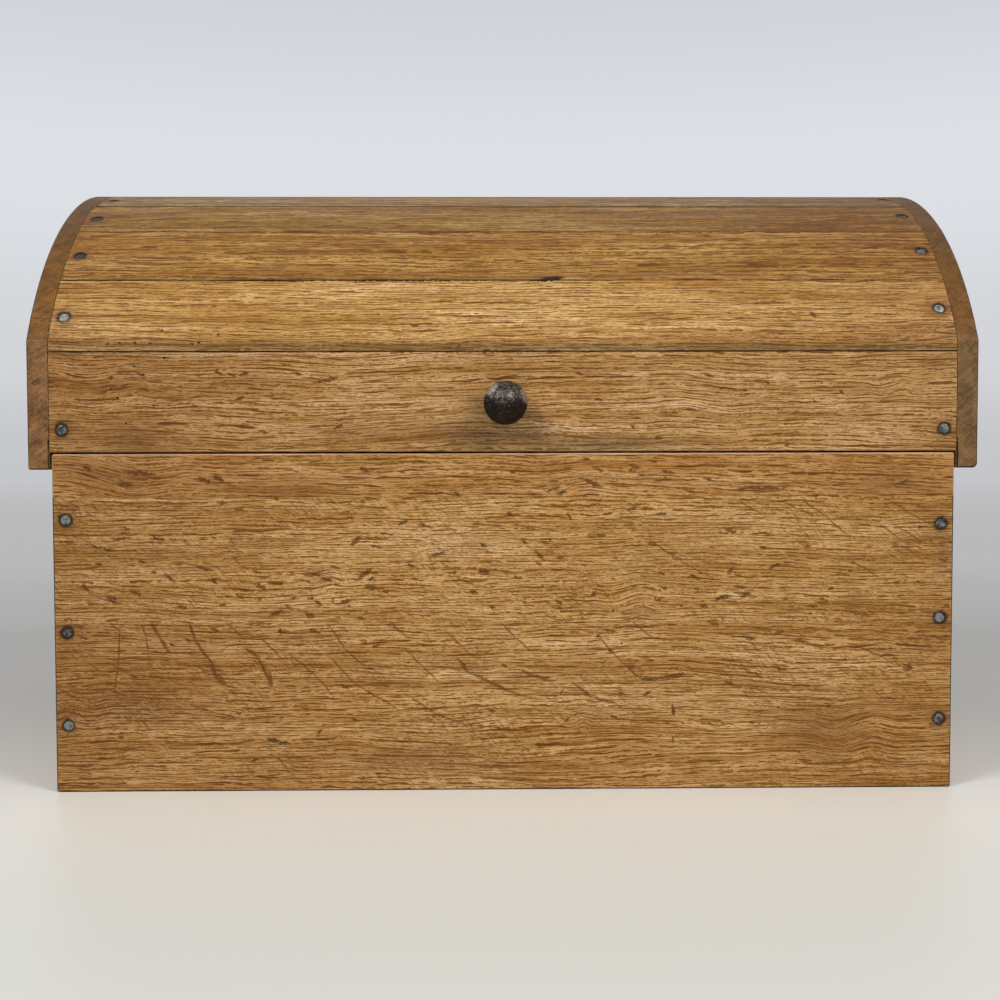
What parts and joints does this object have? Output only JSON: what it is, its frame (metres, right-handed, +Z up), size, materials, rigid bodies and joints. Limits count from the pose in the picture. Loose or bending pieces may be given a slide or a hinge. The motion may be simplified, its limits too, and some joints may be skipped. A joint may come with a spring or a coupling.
{
  "type": "grain ark chest",
  "caption": "Small oak ark: nailed board box with a coopered, domed lid that turns on iron pins through the lips of its end boards, and an iron knob.",
  "frame": {"origin": "middle of the box's footprint, on the surface that the chest stands on", "axes": "+X to the right seen from the front, -Y out of the front with the knob, +Z up"},
  "size_m": [0.6376, 0.449, 0.4326],
  "materials": {
    "box_oak": "waxed, worn",
    "lid_oak": "waxed, worn",
    "nail_steel": "dull, tarnished",
    "hinge_iron": "dark, forged",
    "knob_iron": "dark, mottled"
  },
  "bodies": {
    "box": {"box_front_bottom_board": "box_oak", "box_front_middle_board": "box_oak", "box_front_top_board": "box_oak", "box_back_bottom_board": "box_oak", "box_back_middle_board": "box_oak", "box_back_top_board": "box_oak", "box_left_end_lower_board": "box_oak", "box_left_end_upper_board": "box_oak", "box_right_end_lower_board": "box_oak", "box_right_end_upper_board": "box_oak", "bottom_board_front": "box_oak", "bottom_board_middle": "box_oak", "bottom_board_rear": "box_oak", "box_front_nails": "nail_steel", "box_back_nails": "nail_steel", "bottom_nails": "nail_steel", "left_hinge_pin": "hinge_iron", "right_hinge_pin": "hinge_iron"},
    "lid": {"lid_front_rail": "lid_oak", "lid_back_rail": "lid_oak", "lid_front_stave_1": "lid_oak", "lid_front_stave_2": "lid_oak", "lid_front_stave_3": "lid_oak", "lid_front_stave_4": "lid_oak", "lid_front_stave_5": "lid_oak", "lid_back_stave_1": "lid_oak", "lid_back_stave_2": "lid_oak", "lid_back_stave_3": "lid_oak", "lid_back_stave_4": "lid_oak", "lid_back_stave_5": "lid_oak", "lid_left_inner_end_lower": "lid_oak", "lid_left_inner_end_upper": "lid_oak", "lid_right_inner_end_lower": "lid_oak", "lid_right_inner_end_upper": "lid_oak", "lid_left_outer_end_lower": "lid_oak", "lid_left_outer_end_upper": "lid_oak", "lid_right_outer_end_lower": "lid_oak", "lid_right_outer_end_upper": "lid_oak", "lid_stave_nails": "nail_steel", "lid_end_nails": "nail_steel", "knob": "knob_iron", "knob_washer": "knob_iron", "knob_nut": "knob_iron"}
  },
  "joints": [
    {"name": "lid_hinge", "type": "hinge", "parent": "box", "child": "lid", "pos_m": [0, 0.2055, 0.2193], "axis": [-1, 0, 0], "range_deg": [0, 97]}
  ]
}
